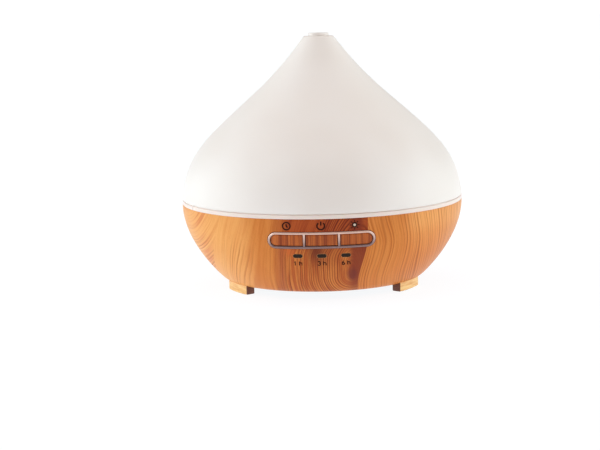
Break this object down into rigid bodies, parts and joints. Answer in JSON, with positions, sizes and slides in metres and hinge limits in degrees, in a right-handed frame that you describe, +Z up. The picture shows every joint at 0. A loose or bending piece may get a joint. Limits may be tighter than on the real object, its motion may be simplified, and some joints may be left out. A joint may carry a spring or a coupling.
{
  "type": "essential oil diffuser",
  "caption": "Onion-shaped ultrasonic oil diffuser: wood-print bowl with water tank, fan, button row and feet, inner lid with chimney, frosted lift-off cover.",
  "frame": {"origin": "middle of the base, on the surface that the rubber pads stand on", "axes": "+Z up, the buttons face -Y, +X to the right as seen by someone who faces the buttons"},
  "size_m": [0.168, 0.168, 0.1507],
  "materials": {
    "wood_print": "satin, printed wood grain",
    "foot_wood": "satin, printed wood grain",
    "button_wood": "satin, printed wood grain",
    "frosted_cover": "fine frosted",
    "light_ring": "translucent satin",
    "tank_plastic": "satin",
    "button_frame": "polished",
    "indicator_window": "polished",
    "black_plastic": "fine texture",
    "fan_grey": "satin",
    "connector_ivory": "satin",
    "board_green": "satin solder mask",
    "board_white": "satin solder mask",
    "led_lens": "polished",
    "capacitor": "sleeve",
    "magnet": "sintered",
    "rubber_pads": "matt",
    "silicone": "matt",
    "wire_red": "smooth",
    "wire_grey": "smooth",
    "wire_black": "smooth",
    "steel": "satin",
    "brass": "turned",
    "copper": "enamelled winding",
    "heat_sink": "extruded"
  },
  "bodies": {
    "base": {"base_shell": "wood_print", "bottom_cover": "black_plastic", "foot_front_left": "foot_wood", "foot_front_right": "foot_wood", "foot_rear": "foot_wood", "foot_pads": "rubber_pads", "bottom_screws": "steel", "light_ring": "light_ring", "water_tank": "tank_plastic", "air_tower": "tank_plastic", "transducer_seal": "silicone", "transducer_disc": "steel", "transducer_clamp": "steel", "transducer_screws": "steel", "transducer_wires": "wire_red", "fan_housing": "black_plastic", "fan_stator": "copper", "fan_bearing": "brass", "fan_screws": "steel", "fan_wires": "wire_red", "air_duct": "tank_plastic", "main_board": "board_green", "driver_coil": "copper", "heat_sink": "heat_sink", "power_transistor": "black_plastic", "capacitors": "capacitor", "control_chip": "black_plastic", "board_connectors": "connector_ivory", "board_screws": "steel", "led_board": "board_white", "leds": "led_lens", "led_screws": "steel", "led_wires": "wire_grey", "button_board": "board_green", "tact_switches": "black_plastic", "indicator_leds": "led_lens", "button_board_screws": "steel", "button_cable": "wire_grey", "button_bezel": "button_frame", "indicator_lens_left": "indicator_window", "indicator_lens_middle": "indicator_window", "indicator_lens_right": "indicator_window", "power_jack": "black_plastic", "power_jack_pin": "steel", "jack_wires": "wire_black"},
    "inner_lid": {"inner_cover": "tank_plastic"},
    "cover": {"outer_cover": "frosted_cover", "mist_spout": "frosted_cover"},
    "timer_button": {"button_timer": "button_wood"},
    "power_button": {"button_power": "button_wood"},
    "light_button": {"button_light": "button_wood"},
    "fan": {"fan_rotor": "fan_grey", "fan_shaft": "steel", "rotor_magnet": "magnet"}
  },
  "joints": [
    {"name": "inner_lid_lift", "type": "slide", "parent": "base", "child": "inner_lid", "axis": [0, 0, 1], "range_m": [0, 0.05]},
    {"name": "cover_lift", "type": "slide", "parent": "inner_lid", "child": "cover", "axis": [0, 0, 1], "range_m": [0, 0.075]},
    {"name": "timer_button_press", "type": "slide", "parent": "base", "child": "timer_button", "axis": [0, 1, 0], "range_m": [0, 0.0005], "stiffness_N_per_m": 3000, "springref_m": -0.0001},
    {"name": "power_button_press", "type": "slide", "parent": "base", "child": "power_button", "axis": [0, 1, 0], "range_m": [0, 0.0005], "stiffness_N_per_m": 3000, "springref_m": -0.0001},
    {"name": "light_button_press", "type": "slide", "parent": "base", "child": "light_button", "axis": [0, 1, 0], "range_m": [0, 0.0005], "stiffness_N_per_m": 3000, "springref_m": -0.0001},
    {"name": "fan_spin", "type": "hinge", "parent": "base", "child": "fan", "pos_m": [0.032, 0, 0.0133], "axis": [0, 0, 1], "continuous": true}
  ]
}
